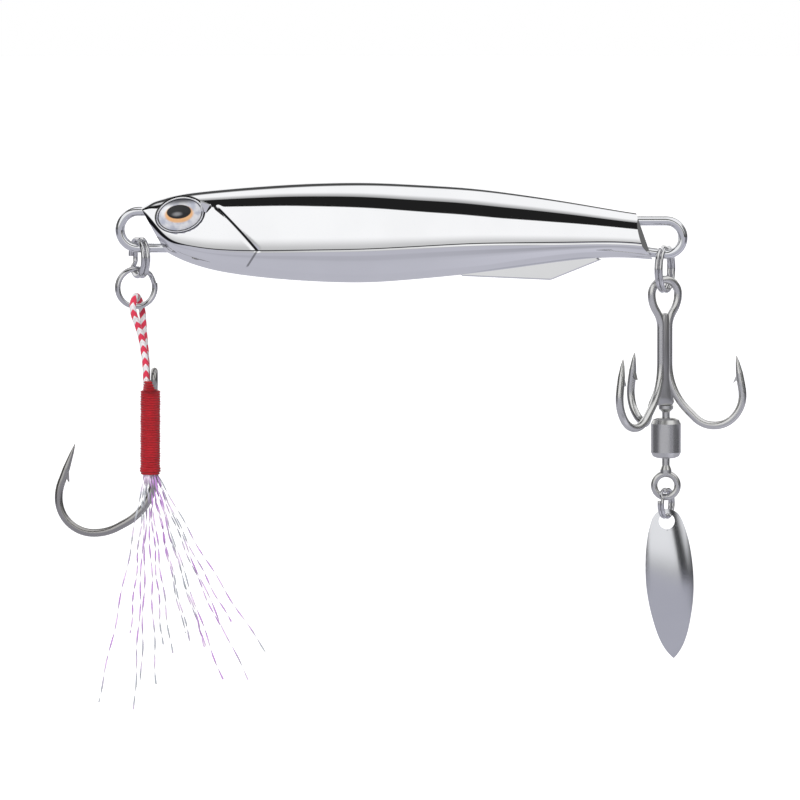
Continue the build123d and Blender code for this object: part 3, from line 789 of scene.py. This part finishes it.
class JIG_OT_whipping(bpy.types.Operator):
    """Winds the red thread round the cord and shank"""

    bl_idname = "jig.whipping"
    bl_label = "Whipping"

    def execute(self, context):
        chosen = context.scene.casting_jig
        low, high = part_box("assist_thread")
        turns = chosen.thread_turns
        pitch = (high[2] - low[2]) / turns
        profile = [(0.0, 0.0, high[2])]
        for turn in range(turns):
            full = chosen.thread_width / 2 * turn_reach(turn, (turn + 0.5) / turns)
            for step in range(TURN_STEPS + 1):
                groove = TURN_GROOVE * pitch * (1 - math.sin(math.pi * step / TURN_STEPS))
                profile.append((full - groove, 0.0, high[2] - pitch * (turn + step / TURN_STEPS)))
        profile.append((0.0, 0.0, low[2]))
        shape = bmesh.new()
        bmesh.ops.spin(shape, geom=chain(shape, profile), axis=(0, 0, 1), cent=(0, 0, 0), angle=math.tau,
                       steps=TURN_SIDES, use_merge=True)
        bmesh.ops.remove_doubles(shape, verts=shape.verts, dist=1e-7)
        for corner in shape.verts:
            if corner.co.z > high[2] - COLLAR * MM:
                corner.co.y *= COLLAR_SQUASH_Y
                corner.co.x *= COLLAR_SQUASH_X
        bmesh.ops.rotate(shape, verts=shape.verts, cent=(0, 0, high[2]),
                         matrix=Matrix.Rotation(TURN_LEAN, 3, "Y"))
        bmesh.ops.translate(shape, verts=shape.verts, vec=((low[0] + high[0]) / 2, 0, 0))
        round_off(shape)
        piece = new_piece("thread_turns", mesh_of(shape, "thread_turns"), "assist_rig", wound_thread(chosen),
                          "assist_thread")
        return {"FINISHED"}


class JIG_OT_tinsel(bpy.types.Operator):
    """Makes the twisted tinsel strands"""

    bl_idname = "jig.tinsel"
    bl_label = "Tinsel"

    def execute(self, context):
        chosen = context.scene.casting_jig
        low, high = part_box("assist_thread")
        middle = Vector(((low[0] + high[0]) / 2, 0, low[2] + BUNDLE_INSIDE * MM))
        half = chosen.tinsel_width / 2
        strands = len(TINSEL_TIPS)
        shape = bmesh.new()
        layer = shape.loops.layers.uv.new("along")
        for number, tip in enumerate(TINSEL_TIPS):
            end = Vector(tip) * MM
            front = -1 if tip[1] < 0 else 1
            fan = 2 * number / (strands - 1) - 1
            forward = front * (BUNDLE_HALF_Y - BUNDLE_ROUND * abs(fan))
            root = middle + Vector((BUNDLE_HALF_X * fan, forward, 0)) * MM
            bow = Vector((STRAND_BOW_X * (end.x - root.x), front * STRAND_BOW_Y * MM, 0))
            made = bmesh.ops.create_grid(shape, x_segments=1, y_segments=TINSEL_STEPS, size=0.5)["verts"]
            spots = {}
            for corner in made:
                along = corner.co.y + 0.5
                across = corner.co.x * 2
                crimp = STRAND_CRIMP * MM * math.sin(along * 21 + number) * min(1, along * 4)
                place = root.lerp(end, along) + bow * (4 * along * (1 - along)) + Vector((crimp, 0, 0))
                twist = along * (34 + 5 * math.sin(number * 1.7)) + number * 1.3
                spots[corner] = (number / strands, along * (end - root).length * 1000)
                corner.co = place + heading(twist) * half * across
            for face in {face for corner in made for face in corner.link_faces}:
                face.smooth = True
                for corner in face.loops:
                    corner[layer].uv = spots[corner.vert]
        piece = new_piece("tinsel_strands", mesh_of(shape, "tinsel_strands"), "assist_rig",
                          pearl_tinsel(chosen), "flash_fibres")
        return {"FINISHED"}


class JIG_OT_casting(bpy.types.Operator):
    """Makes the plated casting with its keel and eye rims"""

    bl_idname = "jig.casting"
    bl_label = "Casting"

    def execute(self, context):
        shape = bmesh.new()
        casting_side(shape)
        bmesh.ops.mirror(shape, geom=all_of(shape), axis="Y", merge_dist=1e-6)
        row_layer = shape.verts.layers.int["row"]
        for edge in shape.edges:
            if all(corner[row_layer] == UPPER_ROWS for corner in edge.verts):
                edge.smooth = False
        for cut in END_CUTS:
            cut_end(shape, *cut)
        bmesh.ops.recalc_face_normals(shape, faces=shape.faces)
        for face in shape.faces:
            face.smooth = len(face.verts) < 5
        without_keel = set(shape.verts)
        extruded_outline(shape, KEEL, -KEEL_HALF, KEEL_HALF, KEEL_BEVEL)
        for corner in set(shape.verts) - without_keel:
            # the keel is thinner towards its top, inside the belly
            corner.co.y *= min(1, max(0.5, (3 - corner.co.z / MM) / 10))
        for hand in (-1, 1):
            turned_oval(shape, RIM_PROFILE, hand)
            extruded_outline(shape, RIM_CORNER, hand * RIM_CORNER_NEAR, hand * RIM_CORNER_FAR,
                             RIM_CORNER_BEVEL)
        skin = shape.loops.layers.uv["skin"]
        for face in shape.faces:
            for loop in face.loops:
                if loop[skin].uv.length < 1e-6:
                    loop[skin].uv = PLAIN_SKIN
        piece = new_piece("casting", mesh_of(shape, "casting"), "lure",
                          plated_casting(context.scene.casting_jig), "body")
        return {"FINISHED"}


class JIG_OT_braze(bpy.types.Operator):
    """Fills the gap between the shanks of the treble"""

    bl_idname = "jig.braze"
    bl_label = "Braze"

    def execute(self, context):
        shape = bmesh.new()
        left = [(-reach, z) for reach, z in reversed(BRAZE_RIGHT[1:])]
        extruded_outline(shape, BRAZE_RIGHT + left, -BRAZE_HALF, BRAZE_HALF, BRAZE_BEVEL)
        seat = Matrix.Translation((TREBLE_X * MM, 0, 0)) @ Matrix.Rotation(SHANK_PLANE, 4, "Z")
        bmesh.ops.transform(shape, verts=shape.verts, matrix=seat)
        round_off(shape)
        piece = new_piece("treble_braze", mesh_of(shape, "treble_braze"), "treble", metal("braze"),
                          "treble_solder")
        return {"FINISHED"}


class JIG_OT_metal(bpy.types.Operator):
    """Finishes the casting, wire, rings, hooks, swivel and blade"""

    bl_idname = "jig.metal"
    bl_label = "Metal finishes"

    def execute(self, context):
        chrome = list(context.scene.casting_jig.chrome)
        paint(polished_metal("body_plating", chrome, 0.03), "body")
        paint(metal("polished_wire"), "through_wire")
        paint(metal("ring_steel"), "nose_split_ring", "assist_split_ring", "tail_split_ring",
              "blade_split_ring")
        paint(metal("dark_nickel"), "assist_hook")
        paint(metal("satin_tin"), "treble_double_hook", "treble_single_hook")
        paint(metal("braze"), "treble_solder")
        paint(metal("satin_nickel"), "swivel_stem", "swivel_barrel", "swivel_eye")
        paint(metal("plated_blade"), "spinner_blade")
        return {"FINISHED"}


class JIG_OT_third_hook(bpy.types.Operator):
    """Makes the third hook of the treble from the bend of its neighbour"""

    bl_idname = "jig.third_hook"
    bl_label = "Third hook"

    def execute(self, context):
        shape = bmesh.new()
        shape.from_mesh(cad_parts["treble_double_hook"].data)
        bmesh.ops.remove_doubles(shape, verts=shape.verts, dist=1e-7)
        axis = Vector((TREBLE_X * MM, 0, 0))
        apart = heading(SHANK_PLANE)
        shank_top = Vector((0, 0, THIRD_SHANK_TOP * MM))
        for place, outward in ((axis, apart), (shank_top, Vector((0, 0, 1)))):
            rim = cut_away(shape, place, outward, 1e-8)
            bmesh.ops.holes_fill(shape, edges=rim, sides=0)
        loose = [corner for corner in shape.verts if not corner.link_faces]
        bmesh.ops.delete(shape, geom=loose, context="VERTS")
        old_shank = axis - apart * SHANK_OFF_AXIS * MM
        outward = heading(DOUBLE_BEND)
        for corner in shape.verts:
            reach = (corner.co - old_shank).dot(outward) / MM
            corner.co -= outward * share(reach, SHORTER_FROM, SHORTER_TO) * THIRD_SHORTER * MM
        seat = (Matrix.Translation(axis + heading(THIRD_PLACE) * THIRD_OUT * MM)
                @ Matrix.Rotation(THIRD_BEND - DOUBLE_BEND, 4, "Z") @ Matrix.Translation(-old_shank))
        bmesh.ops.transform(shape, verts=shape.verts, matrix=seat)
        round_off(shape)
        for edge in shape.edges:
            edge.smooth = edge.calc_face_angle(0) < SHARP_EDGE
        piece = new_piece("treble_third_hook", mesh_of(shape, "treble_third_hook"), "treble",
                          metal("satin_tin"), "treble_single_hook")
        return {"FINISHED"}


class JIG_OT_eyes(bpy.types.Operator):
    """Makes the domed printed eyes"""

    bl_idname = "jig.eyes"
    bl_label = "Eyes"

    def execute(self, context):
        printed = printed_eye(context.scene.casting_jig)
        # the dome starts beside its middle, so that the small hole there is filled flat
        profile = [(0.02, DOME_TOP)]
        for step in range(1, DOME_STEPS + 1):
            part = step / DOME_STEPS
            profile.append((DOME_REACH * part, DOME_TOP - DOME_FALL * part ** 2))
        profile.append((DOME_REACH, DOME_BACK))
        for hand, side in ((-1, "left"), (1, "right")):
            paint(printed, "eye_foil_" + side, "eye_dome_" + side)
            shape = bmesh.new()
            turned_oval(shape, profile, hand)
            bmesh.ops.holes_fill(shape, edges=shape.edges, sides=0)
            bmesh.ops.recalc_face_normals(shape, faces=shape.faces)
            piece = new_piece("printed_eye_" + side, mesh_of(shape, "printed_eye_" + side), "lure", printed,
                              "eye_foil_" + side, "eye_dome_" + side)
        return {"FINISHED"}


def pale_floor():
    """White to the camera, pale to other rays, and a grey floor with two strips to polished metal."""
    pale = bpy.data.materials.new("pale_floor")
    shader = Shader(pale)
    plain = shader.node("ShaderNodeBsdfDiffuse", None, {"Color": (0.78, 0.78, 0.8)})
    white = shader.node("ShaderNodeEmission", None, {"Color": (1, 1, 1), "Strength": 0.7})
    both = shader.node("ShaderNodeAddShader", None, [plain.outputs[0], white.outputs[0]])
    x, y, _ = shader.place()
    tail_end = x.ramp(60, 150)
    dark_strip = y.band(-230, -190, -150, -120)
    pale_strip = y.band(-120, -95, -40, -20)
    tread = 1.0 - dark_strip * (0.1 + tail_end * 0.25) + pale_strip * (0.02 + tail_end * 0.45)
    sideways = abs(x / (abs(y) + 1.0)).ramp(0.7, 2.6) * abs(x).ramp(500, 900)
    mirrored = shader.node("ShaderNodeEmission", None,
                           {"Color": FLOOR_IN_METAL, "Strength": tread * (1.0 - sideways * 0.7)})
    seen = shader.on_rays("Is Camera Ray", plain, both)
    seen = shader.on_rays("Is Glossy Ray", seen, mirrored)
    shader.node("ShaderNodeOutputMaterial", None, {"Surface": seen.outputs[0]})
    return pale


def black_card(angle, low, high, fade):
    """One on a card from low to high in degrees, with a sharp lower edge."""
    return (angle - low).ramp(-0.5, 0.5) * (angle - high).ramp(-0.5, fade, 1.0, 0.0)


def studio():
    """White to the camera; in metal, a white tent with a black card in front and another at the back."""
    world = bpy.data.worlds.new("studio")
    shader = Shader(world)
    seat = shader.node("ShaderNodeTexCoord")
    x, y, z = shader.axes(seat.outputs["Generated"])
    rise = z.arctan(0 - y) * (180 / math.pi)
    rear = 180 - rise
    low = BLACK_CARD_LOW - x * BLACK_CARD_SLANT
    high = BLACK_CARD_HIGH - x * BLACK_CARD_SLANT
    horizon = rise.ramp(0, HORIZON_BLUR, 0.5, 1.0) * rear.ramp(0, HORIZON_BLUR, 0.5, 1.0)
    over = 1.0 - (1.0 - (rise - high).ramp(0, 16, 0.42, 1.0)) * (rise - high > 0)
    front = black_card(rise, low, high, 1.5)
    behind = black_card(rear, low + BACK_CARD_LOW_UP, high + BACK_CARD_HIGH_UP, 12)
    sides = abs(x).ramp(0.72, 0.86)
    level = horizon * over * (1.0 - front * 0.985) * (1.0 - behind * 0.93) * (1.0 - sides * 0.85)
    path = shader.node("ShaderNodeLightPath")
    camera = Value(shader, path.outputs["Is Camera Ray"])
    light = shader.node("ShaderNodeBackground", None,
                        {"Color": (1, 1, 1), "Strength": level * (1.0 - camera) + camera})
    shader.node("ShaderNodeOutputWorld", None, {"Surface": light.outputs[0]})
    return world


class JIG_OT_stage(bpy.types.Operator):
    """Sets a pale floor and soft studio light"""

    bl_idname = "jig.stage"
    bl_label = "Stage"

    def execute(self, context):
        scene = context.scene
        scene.view_settings.view_transform = "Standard"
        shape = bmesh.new()
        bmesh.ops.create_circle(shape, cap_ends=True, segments=96, radius=FLOOR_RADIUS,
                                matrix=Matrix.Translation(FLOOR_MIDDLE))
        floor = bpy.data.objects.new("floor", mesh_of(shape, "floor"))
        floor.data.materials.append(pale_floor())
        scene.collection.objects.link(floor)
        scene.world = studio()

        lamp = bpy.data.lights.new("key", "AREA")
        lamp.shape = "RECTANGLE"
        lamp.size = 0.5
        lamp.size_y = 0.3
        lamp.energy = 4.0
        key = bpy.data.objects.new("key", lamp)
        key.location = KEY_PLACE
        key.rotation_euler = (Vector(KEY_TARGET) - key.location).to_track_quat("-Z", "Y").to_euler()
        scene.collection.objects.link(key)
        key.visible_glossy = False
        for name in OUT_OF_METAL:
            bpy.data.objects[name].visible_glossy = False
        return {"FINISHED"}


class JIG_PT_panel(bpy.types.Panel):
    """Steps that dress the jig"""

    bl_label = "Casting jig"
    bl_idname = "JIG_PT_panel"
    bl_space_type = "VIEW_3D"
    bl_region_type = "UI"
    bl_category = "Casting jig"

    def draw(self, context):
        for step in OPERATORS:
            self.layout.operator(step.bl_idname)
        for name in JigSettings.__annotations__:
            self.layout.prop(context.scene.casting_jig, name)


OPERATORS = (
    JIG_OT_camera, JIG_OT_cord, JIG_OT_whipping, JIG_OT_tinsel, JIG_OT_casting, JIG_OT_braze, JIG_OT_metal,
    JIG_OT_third_hook, JIG_OT_eyes, JIG_OT_stage,
)
CLASSES = (JigSettings, *OPERATORS, JIG_PT_panel)


def register():
    for each in CLASSES:
        bpy.utils.register_class(each)
    bpy.types.Scene.casting_jig = bpy.props.PointerProperty(type=JigSettings)


def unregister():
    del bpy.types.Scene.casting_jig
    for each in reversed(CLASSES):
        bpy.utils.unregister_class(each)


def main():
    register()
    for step in OPERATORS:
        group, name = step.bl_idname.split(".")
        getattr(getattr(bpy.ops, group), name)()


if __name__ == "__main__":
    main()
